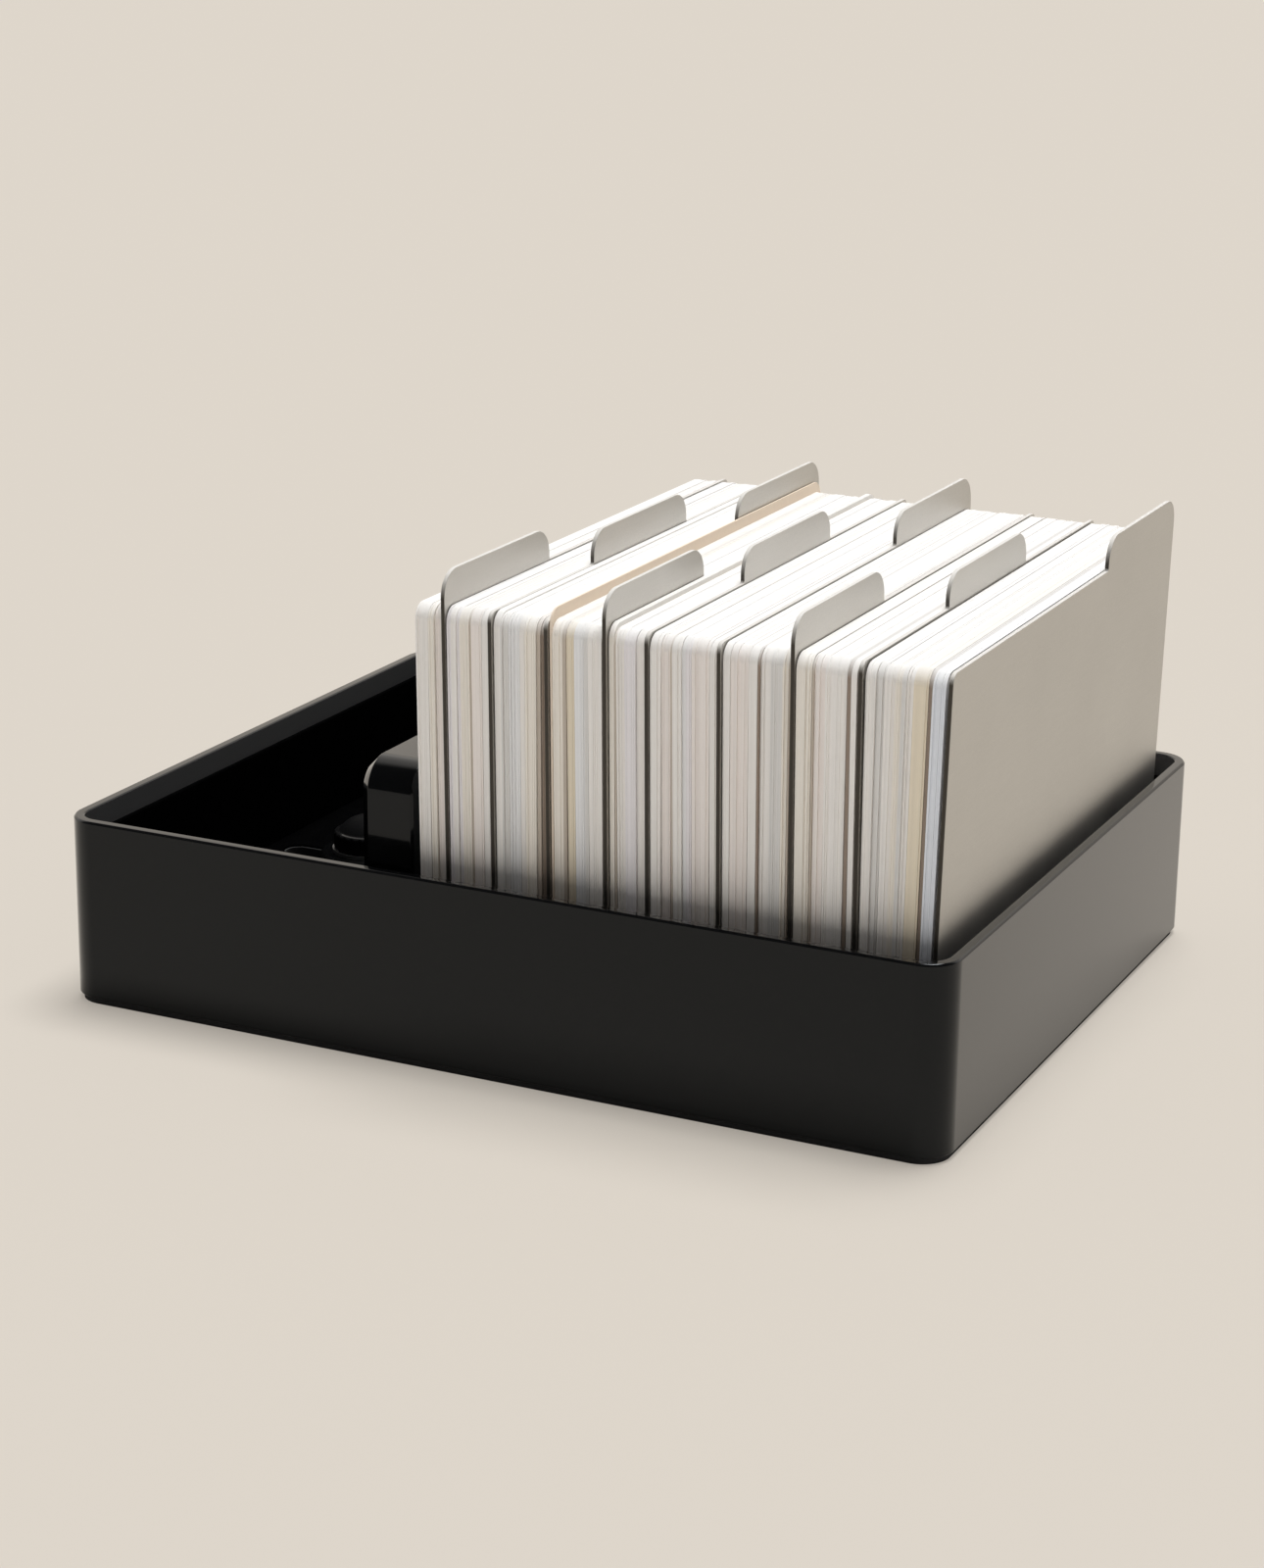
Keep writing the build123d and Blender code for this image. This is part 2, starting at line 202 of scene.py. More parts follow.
class Finishes(bpy.types.PropertyGroup):
    """Colours of the other finishes."""

    anodised: colour("Black anodising", "Walls, block, foot and knob", 0.0025, 0.0026, 0.0028)
    sheen: colour("Sheen", "Cool cast of the anodised pieces' gloss", 0.80, 0.91, 1.0)
    rubbed: colour("Rubbed edge", "Edges of the anodised pieces", 0.007, 0.007, 0.0073)
    steel: colour("Blasted steel", "Sheet dividers", 0.60, 0.584, 0.552)
    # Dark tone of the standing cut edges: partly their own cut-edge tone, partly painted shade, as they face
    # away from the overhead light
    sheared: colour("Sheared steel", "Standing edges of the sheet dividers", 0.17, 0.157, 0.142)
    # Painted highlight: pale, little metallic tone on the dividers' upward edges, standing in for the
    # overhead light on them
    blasted: colour("Blasted edge", "Upper edges of the sheet dividers", 0.72, 0.70, 0.665)
    inside: colour("Inner faces", "Duller anodising inside the walls", 0.085, 0.085, 0.086)
    zinc: colour("Zinc", "Screws, stud, washer and nut", 0.58, 0.585, 0.59)
    paint: colour("Powder coat", "Base and raised floor", 0.016, 0.016, 0.016)
    rubber: colour("Rubber", "Sheet under the box", 0.013, 0.013, 0.013)
    felt: colour("Felt", "Lining of the walls and the floor", 0.0013, 0.0013, 0.0014)
    card_clouds: colour("Card clouds", "Deeper patches of the cards, over their tint", 0.98, 0.977, 0.97)
    card_fibres: colour("Card fibres", "Deeper fibres of the cards, over their tint", 0.965, 0.96, 0.95)


class StageSettings(bpy.types.PropertyGroup):
    """Camera, floor and lights."""

    camera_place: FloatVectorProperty(
        name="Camera place",
        description="Where the camera stands",
        default=(0.2800, -0.5977, 0.2431),
        subtype="TRANSLATION",
    )
    azimuth: angle("Azimuth", "Turn of the camera from the front towards the right", 25.366)
    pitch: angle("Pitch", "How far the camera looks down", 17.244)
    roll: angle("Roll", "Turn of the camera about its view", 0.7346)
    lens: amount("Lens", "Focal length in millimetres on a 36 mm sensor", 78.23)
    floor_size: length("Floor size", "Width of the floor", 12)
    floor: colour("Floor", "Colour of the floor", 0.591, 0.544, 0.482)
    table: colour("Table", "Colour of the floor in the light that it throws back", 0.94, 0.925, 0.90)
    background: colour("Background", "Colour round the floor", 0.7305, 0.6725, 0.5975)
    shadow: amount("Shadow", "How much of its shade the floor shows", 0.55)
    backdrop: colour("Backdrop", "Light from the pale backdrop", 0.80, 0.79, 0.775)
    backdrop_rise: angle("Backdrop rise", "How steeply the backdrop stands up behind the object", 27)
    room: colour("Room", "Light from the darker room", 0.20, 0.20, 0.20)
    mirrored_room: colour("Mirrored room", "Darker room as it shows in reflections", 0.04, 0.04, 0.04)
    softbox: colour("Softbox", "Pale cloth over the backdrop as it shows in reflections", 1.2, 1.13, 1.05)
    softbox_rise: angle("Softbox rise", "How steeply the far edge of that cloth stands", 73)
    key: amount("Key strength", "Strength of the overhead light", 3.25)
    key_spread: angle("Key spread", "Width of the overhead light", 30)
    key_azimuth: angle("Key azimuth", "Where the overhead light stands, from the back towards the right", 16)
    key_height: angle("Key height", "Height of the overhead light over the floor", 78)


GROUPS = {
    "card_box_tray": TraySizes,
    "card_box_felt": FeltSizes,
    "card_box_follower": FollowerSizes,
    "card_box_knob": KnobSizes,
    "card_box_divider": DividerSizes,
    "card_box_card": CardSizes,
    "card_box_tints": CardTints,
    "card_box_finishes": Finishes,
    "card_box_stage": StageSettings,
}


# Outlines and skins


def rounded_outline(corners, steps=8):
    """Points of a closed anticlockwise outline of (x, y, radius) corners, each with its outward direction."""
    outline = []
    for i, (x, y, radius) in enumerate(corners):
        corner = Vector((x, y))
        before = (corner - Vector(corners[i - 1][:2])).normalized()
        after = (Vector(corners[(i + 1) % len(corners)][:2]) - corner).normalized()
        turn = atan2(before.cross(after), before.dot(after))
        if radius == 0:
            mitre = Vector((before.y + after.y, -before.x - after.x)) / (1 + before.dot(after))
            outline.append((corner, mitre))
            continue
        side = 1 if turn > 0 else -1
        start = corner - before * radius * tan(abs(turn) / 2)
        centre = start + Vector((-before.y, before.x)) * radius * side
        for k in range(steps + 1):
            heading = before.copy()
            heading.rotate(Matrix.Rotation(turn * k / steps, 2))
            outward = Vector((heading.y, -heading.x))
            outline.append((centre + outward * radius * side, outward))
    previous = outline[-1:] + outline[:-1]
    return [entry for entry, last in zip(outline, previous) if (entry[0] - last[0]).length > 1e-7]


def rectangle(left, right, low, high, low_radius, high_radius):
    """Corners (x, y, radius) of a rectangle, anticlockwise from its lower left one."""
    lower = [(left, low, low_radius), (right, low, low_radius)]
    upper = [(right, high, high_radius), (left, high, high_radius)]
    return lower + upper


def rounded_box(low, high, radius, steps=8):
    """Outline of a box seen from above, with rounded corners."""
    return rounded_outline(rectangle(low.x, high.x, low.y, high.y, radius, radius), steps)


def filled(outline, pitch):
    """The same outline with more points, no further apart than pitch."""
    points = []
    for (point, outward), (following, _) in zip(outline, outline[1:] + outline[:1]):
        parts = ceil((following - point).length / pitch)
        points += [(point.lerp(following, j / parts), outward) for j in range(parts)]
    return points


def loop_at(outline, inset, height, place=Matrix.Identity(4)):
    """Outline moved inwards by inset and lifted to height, in the place of its piece."""
    return [place @ Vector((*(point - outward * inset), height)) for point, outward in outline]


def new_mesh():
    """Empty mesh under construction, with layers for the marks that its finish may read."""
    bm = bmesh.new()
    for name in ("edge_wear", "cut_edge", "upper_edge", "inner_face"):
        bm.verts.layers.float.new(name)
    return bm


def skin(bm, loops, wear=None, closed=False):
    """Faces through loops of equal length, joined end to end or capped; wear is each loop's rubbing."""
    layer = bm.verts.layers.float["edge_wear"]
    rings = []
    for loop, worn in zip(loops, wear or [0.0] * len(loops)):
        ring = [bm.verts.new(point) for point in loop]
        for vertex in ring:
            vertex[layer] = worn
        rings.append(ring)
    pairs = list(zip(rings, rings[1:]))
    if closed:
        pairs.append((rings[-1], rings[0]))
    for lower, upper in pairs:
        for corners in zip(lower, lower[1:] + lower[:1], upper[1:] + upper[:1], upper):
            bm.faces.new(corners)
    if not closed:
        bm.faces.new(list(reversed(rings[0])))
        bm.faces.new(rings[-1])


def softened(corners, soft, worn_below=0.0015):
    """Section (inset, height, wear) with each corner cut back by soft; its short runs are rubbed edges."""
    section = []
    for before, corner, after in zip(corners[-1:] + corners[:-1], corners, corners[1:] + corners[:1]):
        for neighbour in (before, after):
            run = Vector(neighbour) - Vector(corner)
            inset, height = Vector(corner) + run.normalized() * soft
            section.append((inset, height, 1.0 if run.length < worn_below else 0.0))
    return section


def rounded_edges(low, high, radius, steps=3):
    """Section (inset, height, wear) of a plate from low to high with rounded edges, which show no wear."""
    turns = [pi / 2 * k / steps for k in range(steps + 1)]
    edge = [(radius * (1 - sin(turn)), radius * (1 - cos(turn))) for turn in turns]
    lower = [(inset, low + height, 0.0) for inset, height in edge]
    upper = [(inset, high - height, 0.0) for inset, height in reversed(edge)]
    return lower + upper


def skin_section(bm, outline, section, place=Matrix.Identity(4), closed=False):
    """Faces along an outline with this section."""
    loops = [loop_at(outline, inset, height, place) for inset, height, _ in section]
    skin(bm, loops, [worn for _, _, worn in section], closed)


def mark(bm, layer_name, outline, section, value):
    """Store value(outward, inset) on each point of the first skin, which has this outline and section."""
    layer = bm.verts.layers.float[layer_name]
    bm.verts.ensure_lookup_table()
    places = [(outward, inset) for inset, _, _ in section for _, outward in outline]
    for vertex, place in zip(bm.verts, places):
        vertex[layer] = value(*place)


def add_object(name, data):
    """New object in the scene."""
    thing = bpy.data.objects.new(name, data)
    bpy.context.scene.collection.objects.link(thing)
    return thing


def make_piece(name, bm, maker, body, stands_for, sharp_angle=35):
    """Object from a finished mesh, riding on its body in place of the solids that it stands for."""
    bmesh.ops.recalc_face_normals(bm, faces=bm.faces)
    mesh = bpy.data.meshes.new(name)
    bm.to_mesh(mesh)
    bm.free()
    mesh.materials.append(finish(maker))
    mesh.shade_smooth()
    mesh.set_sharp_from_angle(angle=radians(sharp_angle))
    piece = add_object(name, mesh)
    even = piece.modifiers.new("even_shading", "WEIGHTED_NORMAL")
    even.keep_sharp = True
    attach(piece, body)
    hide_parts(*stands_for)
    return piece


def face_line(node, side):
    """Foot and head, as (x, z), of the left (-1) or right (1) face of a standing solid."""
    points = [vertex.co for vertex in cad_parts[node].data.vertices]
    low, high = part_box(node)
    near = 0.004
    feet = [point for point in points if point.z < low.z + near]
    heads = [point for point in points if point.z > high.z - near]
    foot = max(feet, key=lambda point: side * point.x)
    head = max(heads, key=lambda point: side * point.x)
    return foot.xz, head.xz


def x_at(line, z):
    """Where a face line is at height z."""
    foot, head = line
    return foot.x + (head.x - foot.x) * (z - foot.y) / (head.y - foot.y)


def standing_place(foot_x, head_x, foot_z, reach):
    """Place of a sheet: its x runs along the tray's width, its y up the sheet and its z along the tray."""
    up = Vector((head_x - foot_x, 0, reach)).normalized()
    along = Vector((0, 1, 0)).cross(up)
    place = Matrix((Vector((0, 1, 0)), up, along)).transposed().to_4x4()
    place.translation = (foot_x, 0, foot_z)
    return place


# Finishes


class Nodes:
    """Short ways to add shader nodes to one tree."""

    def __init__(self, tree):
        self.tree = tree

    def feed(self, socket, value):
        """Link a socket to another node's output, or set its number or colour."""
        if isinstance(value, bpy.types.NodeSocket):
            self.tree.links.new(value, socket)
        elif hasattr(value, "__len__") and len(value) == 3 and socket.type == "RGBA":
            socket.default_value = (*value, 1)
        else:
            socket.default_value = value

    def add(self, kind, inputs=None, **settings):
        """New node with these settings, whose inputs are numbers, colours or other nodes' outputs."""
        node = self.tree.nodes.new("ShaderNode" + kind)
        for setting, value in settings.items():
            setattr(node, setting, value)
        for socket, value in (inputs or {}).items():
            self.feed(node.inputs[socket], value)
        return node

    def calculated(self, operation, first, second):
        """Result of a sum on two outputs."""
        return self.add("Math", {0: first, 1: second}, operation=operation).outputs["Value"]

    def blended(self, share, low, high, method="MIX"):
        """Colour from low to high as share grows."""
        node = self.add("Mix", data_type="RGBA", blend_type=method)
        first, second = [socket for socket in node.inputs if socket.type == "RGBA"]
        self.feed(node.inputs["Factor"], share)
        self.feed(first, low)
        self.feed(second, high)
        return next(socket for socket in node.outputs if socket.type == "RGBA")

    def ranged(self, share, share_from, share_to, low, high, **settings):
        """Number from low to high as share goes from one value to another."""
        inputs = {"Value": share, "From Min": share_from, "From Max": share_to, "To Min": low, "To Max": high}
        return self.add("MapRange", inputs, **settings).outputs["Result"]


class Finish(Nodes):
    """Material under construction, whose patterns follow the place on the piece."""

    labels = {"ior": "IOR", "coat_ior": "Coat IOR", "specular_level": "Specular IOR Level"}

    def __init__(self, name):
        self.material = bpy.data.materials.new(name)
        self.material.use_nodes = True
        super().__init__(self.material.node_tree)
        self.place = self.add("TexCoord").outputs["Object"]

    def shader(self, **values):
        """Set inputs of the material's shader; their names are written with underscores."""
        inputs = self.tree.nodes["Principled BSDF"].inputs
        for name, value in values.items():
            self.feed(inputs[self.labels.get(name, name.replace("_", " ").title())], value)

    def stretched(self, scale, place=None):
        """Place with its three directions scaled, for streaks."""
        inputs = {"Vector": self.place if place is None else place, "Scale": scale}
        return self.add("Mapping", inputs).outputs["Vector"]

    def grain(self, size, detail=2.0, roughness=0.5, place=None):
        """Noise whose grains are about this size."""
        place = self.place if place is None else place
        inputs = {"Vector": place, "Scale": 1 / size, "Detail": detail, "Roughness": roughness}
        return self.add("TexNoise", inputs).outputs["Fac"]

    def over_grain(self, grain, low, high, grain_from=0.3, grain_to=0.7):
        """Number from low in the dark parts of a grain to high in its pale ones."""
        return self.ranged(grain, grain_from, grain_to, low, high)

    def stored(self, name, output="Fac"):
        """Value or colour that is stored on the mesh."""
        return self.add("Attribute", attribute_name=name).outputs[output]

    def over_mark(self, mark, without, within):
        """Number that changes where a mark is stored on the mesh."""
        return self.ranged(mark, 0.0, 1.0, without, within)

    def bumps(self, height, depth, under=None):
        """Surface direction for bumps of this depth, which may lie on larger ones."""
        inputs = {"Height": height, "Distance": depth}
        if under is not None:
            inputs["Normal"] = under
        return self.add("Bump", inputs).outputs["Normal"]


def toned(colour, tone):
    """Colour made paler or deeper, at most white."""
    return tuple(min(1, part * tone) for part in colour)


def finish(maker):
    """Material that a maker fills in, made the first time that it is needed and named after its maker."""
    name = maker.__name__
    if name not in bpy.data.materials:
        maker(Finish(name), bpy.context.scene.card_box_finishes)
    return bpy.data.materials[name]


def anodised_aluminium(metal, colours):
    """Bead-blasted, black anodised aluminium, faintly rubbed along its edges."""
    blast = metal.grain(0.00011)
    handling = metal.grain(0.028, detail=3.0)
    breaks = metal.grain(0.0025, detail=4.0)
    wear = metal.calculated("MULTIPLY", metal.stored("edge_wear"), metal.over_grain(breaks, 0.15, 0.8))
    tone = metal.blended(wear, colours.anodised, colours.rubbed)
    inner = metal.stored("inner_face")
    blasted = metal.over_grain(handling, 0.10, 0.15)
    metal.shader(
        base_color=metal.blended(inner, tone, colours.inside),
        specular_tint=colours.sheen,
        ior=1.22,
        coat_weight=metal.over_mark(inner, 1.0, 0.0),
        coat_ior=1.25,
        coat_roughness=0.06,
        roughness=metal.over_mark(metal.stored("cut_edge"), blasted, 0.03),
        normal=metal.bumps(blast, 0.0000035),
    )


def dull_anodised_aluminium(metal, colours):
    """Coarsely blasted, dull black anodising with a polished line round the foot of the cap."""
    blast = metal.grain(0.0003, detail=3.0)
    metal.shader(
        base_color=metal.blended(blast, colours.anodised, colours.rubbed),
        ior=1.08,
        coat_weight=metal.over_mark(metal.stored("cut_edge"), 0.0, 1.0),
        coat_ior=1.25,
        coat_roughness=0.06,
        roughness=metal.over_grain(blast, 0.45, 0.6),
        normal=metal.bumps(blast, 0.000006),
    )


def blasted_steel(steel, colours):
    """Bead-blasted stainless sheet with faint rolling streaks, its standing cut edges dark from their own
    tone and painted shade, and a painted highlight on its upward edges.
    """
    blast = steel.grain(0.00016)
    streaks = steel.grain(1.0, detail=3.0, place=steel.stretched((900, 130, 2600)))
    smudges = steel.grain(0.022, detail=4.0)
    pale = toned(colours.steel, 1.09)
    deep = toned(colours.steel, 0.93)
    mottled = steel.blended(steel.over_grain(blast, 0.1, 0.9), deep, pale)
    streaked = steel.blended(steel.over_grain(streaks, 0.0, 0.3), mottled, deep)
    # Standing edges: their own dark cut-edge tone with painted shade
    sheared = steel.stored("cut_edge")
    # Painted highlight on the upward edges
    upper = steel.stored("upper_edge")
    sided = steel.blended(sheared, streaked, colours.sheared)
    edges = steel.calculated("ADD", sheared, upper)
    steel.shader(
        base_color=steel.blended(upper, sided, colours.blasted),
        metallic=steel.over_mark(upper, 1.0, 0.2),
        roughness=steel.over_mark(edges, steel.over_grain(smudges, 0.43, 0.50), 0.8),
        normal=steel.bumps(blast, 0.0000045),
    )


def card_stock(paper, colours):
    """Uncoated card: its stock's own tint, soft fibres and a slight tooth."""
    white = (1, 1, 1)
    fibres = paper.grain(1.0, detail=4.0, roughness=0.65, place=paper.stretched((2600, 700, 700)))
    clouds = paper.grain(0.006, detail=3.0)
    shifted = paper.blended(paper.over_grain(clouds, 0.0, 0.5), white, colours.card_clouds)
    speckled = paper.blended(paper.over_grain(fibres, 0.0, 0.6), white, colours.card_fibres)
    cast = paper.blended(1.0, shifted, speckled, "MULTIPLY")
    paper.shader(
        base_color=paper.blended(1.0, paper.stored("card_tint", "Color"), cast, "MULTIPLY"),
        roughness=0.82,
        ior=1.45,
        specular_level=0.35,
        normal=paper.bumps(fibres, 0.000012),
    )


def black_wool_felt(felt, colours):
    """Short black wool felt: matted fibres with a faint bloom."""
    wander = felt.add("TexNoise", {"Vector": felt.place, "Scale": 600.0, "Detail": 2.0})
    bent = felt.blended(0.0012, felt.place, wander.outputs["Color"])
    fibres = felt.grain(0.00035, detail=5.0, roughness=0.7, place=felt.stretched((1, 0.35, 1), bent))
    clumps = felt.grain(0.004, detail=4.0)
    deep = toned(colours.felt, 0.5)
    pale = toned(colours.felt, 1.9)
    matted = felt.blended(felt.over_grain(fibres, 0.0, 1.0), deep, pale)
    felt.shader(
        base_color=felt.blended(felt.over_grain(clumps, 0.0, 0.4), matted, deep),
        roughness=0.95,
        specular_level=0.0,
        normal=felt.bumps(fibres, 0.00018, felt.bumps(clumps, 0.00025)),
    )


def black_powder_coat(paint, colours):
    """Matt black powder coat with a fine orange peel."""
    peel = paint.grain(0.0011)
    specks = paint.grain(0.00025, detail=3.0)
    pale = toned(colours.paint, 1.7)
    paint.shader(
        base_color=paint.blended(paint.over_grain(specks, 0.0, 0.7), colours.paint, pale),
        ior=1.5,
        roughness=paint.over_grain(specks, 0.48, 0.62),
        normal=paint.bumps(peel, 0.00006),
    )


def pressed_rubber(rubber, colours):
    """Thin matt rubber with a fine pressed texture."""
    texture = rubber.add("TexVoronoi", {"Vector": rubber.place, "Scale": 1300.0}).outputs["Distance"]
    dust = rubber.grain(0.003, detail=5.0)
    pale = toned(colours.rubber, 2.2)
    rubber.shader(
        base_color=rubber.blended(rubber.over_grain(dust, 0.0, 0.6), colours.rubber, pale),
        ior=1.5,
        roughness=rubber.over_grain(dust, 0.66, 0.84),
        normal=rubber.bumps(texture, 0.00008),
    )


def zinc_plate(zinc, colours):
    """Turned steel with a thin zinc plate."""
    cloud = zinc.grain(0.0018, detail=3.0)
    tool = zinc.grain(1.0, place=zinc.stretched((500, 500, 9000)))
    warm = tuple(part * tone for part, tone in zip(colours.zinc, (1.02, 0.97, 0.86)))
    zinc.shader(
        base_color=zinc.blended(zinc.over_grain(cloud, 0.0, 0.6), colours.zinc, warm),
        metallic=1.0,
        roughness=zinc.over_grain(cloud, 0.26, 0.40),
        normal=zinc.bumps(tool, 0.000006),
    )


def dress(maker, *nodes):
    """Give solids that stay visible their finish."""
    for node in nodes:
        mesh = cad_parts[node].data
        mesh.materials.clear()
        mesh.materials.append(finish(maker))


# Pieces


def wall_section(tray, low, high):
    """Corners (inset, height) of the wall's section, from the lower outer edge round to the inside."""
    return [
        (tray.lower_chamfer, low),
        (0, low + tray.lower_chamfer),
        (0, high - tray.rim_chamfer),
        (tray.rim_chamfer, high),
        (tray.wall - tray.inner_chamfer, high),
        (tray.wall, high - tray.inner_chamfer),
        (tray.wall, low),
    ]


def add_lug(bm, tray, x, y, low):
    """Square lug with a screw bore."""
    sides = 32
    centre = Vector((x, y))
    square = []
    circle = []
    for k in range(sides):
        across = Vector((cos(2 * pi * k / sides), sin(2 * pi * k / sides)))
        square.append((centre + across * tray.lug / 2 / max(abs(across.x), abs(across.y)), across))
        circle.append((centre + across * tray.lug_bore, across))
    high = low + tray.lug_height
    edges = ((square, low), (square, high), (circle, high), (circle, low))
    skin(bm, [loop_at(shape, 0, height) for shape, height in edges], closed=True)


class CARDBOX_OT_walls(bpy.types.Operator):
    """Make the metal walls with their lugs"""

    bl_idname = "card_box.walls"
    bl_label = "Walls"

    def execute(self, context):
        tray = context.scene.card_box_tray
        low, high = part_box("tray_frame")
        bm = new_mesh()
        outline = rounded_box(low, high, tray.corner, steps=14)
        section = softened(wall_section(tray, low.z, high.z), tray.soft)
        skin_section(bm, outline, section, closed=True)
        outer = tray.soft / 2
        inner = tray.wall - outer
        mark(bm, "inner_face", outline, section, lambda outward, inset: float(inset > inner))
        mark(bm, "cut_edge", outline, section, lambda outward, inset: float(outer < inset < inner))
        lug_x = high.x - tray.wall + tray.lug_root - tray.lug / 2
        lug_y = high.y - tray.wall + tray.lug_root - tray.lug / 2
        lug_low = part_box("base_plate")[1].z
        for x in (-lug_x, 0, lug_x):
            for y in (-lug_y, lug_y):
                add_lug(bm, tray, x, y, lug_low)
        make_piece("tray_walls", bm, anodised_aluminium, "tray", ["tray_frame"])
        return {"FINISHED"}


class CARDBOX_OT_base(bpy.types.Operator):
    """Finish the plates, the rubber sheet and their screws"""

    bl_idname = "card_box.base"
    bl_label = "Base and raised floor"

    def execute(self, context):
        dress(black_powder_coat, "base_plate", "floor_plate")
        dress(pressed_rubber, "base_pad")
        dress(zinc_plate, "base_screws", "floor_screws")
        return {"FINISHED"}


def pile(point, height):
    """Unevenness of felt at a point: broad lumps and, over them, fine ones."""
    broad_per_metre = 90
    fine_per_metre = 420
    broad = noise.noise(point * broad_per_metre)
    fine = noise.noise(point * fine_per_metre + Vector((7, 3, 1)))
    return height * (0.6 * broad + 0.4 * fine)


class CARDBOX_OT_wall_felt(bpy.types.Operator):
    """Make the strip of felt round the inside of the walls"""

    bl_idname = "card_box.wall_felt"
    bl_label = "Wall felt"

    def execute(self, context):
        sizes = context.scene.card_box_felt
        low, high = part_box("wall_liner")
        outline = filled(rounded_box(low, high, sizes.corner), sizes.pitch)
        rows = ceil((high.z - low.z) / sizes.pitch)
        edge = sizes.wall_felt / 2
        turns = 6
        bulge = 2
        section = [(0, low.z), (0, high.z - edge)]
        for k in range(1, turns):
            turn = pi * k / turns
            section.append((edge - edge * cos(turn), high.z - edge + edge * sin(turn)))
        for k in range(rows + 1):
            section.append((sizes.wall_felt, high.z - edge - (high.z - edge - low.z) * k / rows))
        loops = []
        for inset, height in section:
            loop = []
            for point, outward in outline:
                lift = pile(Vector((*point, height)), sizes.pile) - sizes.pile
                share = inset / sizes.wall_felt
                moved = point - outward * (inset + lift * share)
                loop.append(Vector((*moved, height + lift * share * (1 - share) * bulge)))
            loops.append(loop)
        bm = new_mesh()
        skin(bm, loops, closed=True)
        liner = ["wall_liner"]
        strip = make_piece("wall_felt", bm, black_wool_felt, "tray", liner, sharp_angle=75)
        return {"FINISHED"}


def evenly_spaced(points, count):
    """This many points along an open line, from its first point to just before its last."""
    runs = [(b - a).length for a, b in zip(points, points[1:])]
    spacing = sum(runs) / count
    even = []
    travelled = 0
    for a, b, run in zip(points, points[1:], runs):
        while len(even) < count and len(even) * spacing <= travelled + run:
            even.append(a.lerp(b, (len(even) * spacing - travelled) / run))
        travelled += run
    return even


def evened_sides(outline):
    """Points of a rounded rectangle, from the middle of a corner round, as many whatever its size."""
    along = 84
    across = 56
    points = [point for point, _ in outline]
    middles = [k for k, (_, outward) in enumerate(outline) if abs(abs(outward.x) - abs(outward.y)) < 1e-4]
    even = []
    for start, end, count in zip(middles, middles[1:] + [middles[0] + len(points)], (along, across) * 2):
        even += evenly_spaced([points[k % len(points)] for k in range(start, end + 1)], count)
    return even


def slot_of(node, length_half):
    """Left end, right end and half width of the slot along the middle of a sheet of this half length."""
    middle = 0.01
    points = [vertex.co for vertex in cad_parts[node].data.vertices]
    inside = [p for p in points if abs(p.y) < middle and abs(p.x) < length_half - middle / 10]
    return min(p.x for p in inside), max(p.x for p in inside), max(p.y for p in inside)


class CARDBOX_OT_floor_felt(bpy.types.Operator):
    """Make the felt on the raised floor, with its slot"""

    bl_idname = "card_box.floor_felt"
    bl_label = "Floor felt"

    def execute(self, context):
        sizes = context.scene.card_box_felt
        low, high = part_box("floor_liner")
        slot_left, slot_right, half = slot_of("floor_liner", high.x)
        inner = evened_sides(rounded_outline(rectangle(slot_left, slot_right, -half, half, half, half)))
        outer = evened_sides(rounded_box(low, high, sizes.corner - sizes.wall_felt))
        thickness = high.z - low.z
        edge_thickness = 0.72 * thickness
        rings = 26
        shares = [0.0] + [(k + 0.5) / rings for k in range(rings)] + [1.0]
        loops = []
        for side in (1, 0):
            for share in shares if side else reversed(shares):
                at_edge = share in (0.0, 1.0)
                height = low.z + (edge_thickness if at_edge else thickness) * side
                loop = []
                for a, b in zip(outer, inner):
                    place = Vector((*a.lerp(b, share), height))
                    lift = (pile(place, sizes.pile) - sizes.pile) * side * (not at_edge)
                    loop.append(place + Vector((0, 0, lift)))
                loops.append(loop)
        bm = new_mesh()
        skin(bm, loops, closed=True)
        liner = ["floor_liner"]
        sheet = make_piece("floor_felt", bm, black_wool_felt, "tray", liner, sharp_angle=75)
        return {"FINISHED"}


class CARDBOX_OT_follower(bpy.types.Operator):
    """Make the follower block and finish its foot"""

    bl_idname = "card_box.follower"
    bl_label = "Follower"

    def execute(self, context):
        sizes = context.scene.card_box_follower
        low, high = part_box("follower_block")
        outline = rounded_outline(rectangle(low.y, high.y, low.z, high.z, 0, sizes.corner), steps=16)
        # The chamfers don't draw the foot in
        outline = [(point, Vector((outward.x, max(outward.y, 0)))) for point, outward in outline]
        profile = [
            (sizes.chamfer, low.x),
            (0, low.x + sizes.chamfer),
            (0, high.x - sizes.chamfer),
            (sizes.chamfer, high.x),
        ]
        # The cut-back points of the two open ends lie on the broad faces
        flush = sizes.chamfer + sizes.soft
        section = [(flush, low.x, 0.0)] + softened(profile, sizes.soft)[1:-1] + [(flush, high.x, 0.0)]
        along = Matrix(((0, 0, 1, 0), (1, 0, 0, 0), (0, 1, 0, 0), (0, 0, 0, 1)))
        bm = new_mesh()
        skin_section(bm, outline, section, along)
        make_piece("follower_plate", bm, anodised_aluminium, "follower", ["follower_block"])
        dress(anodised_aluminium, "follower_foot")
        dress(zinc_plate, "foot_screws")
        return {"FINISHED"}


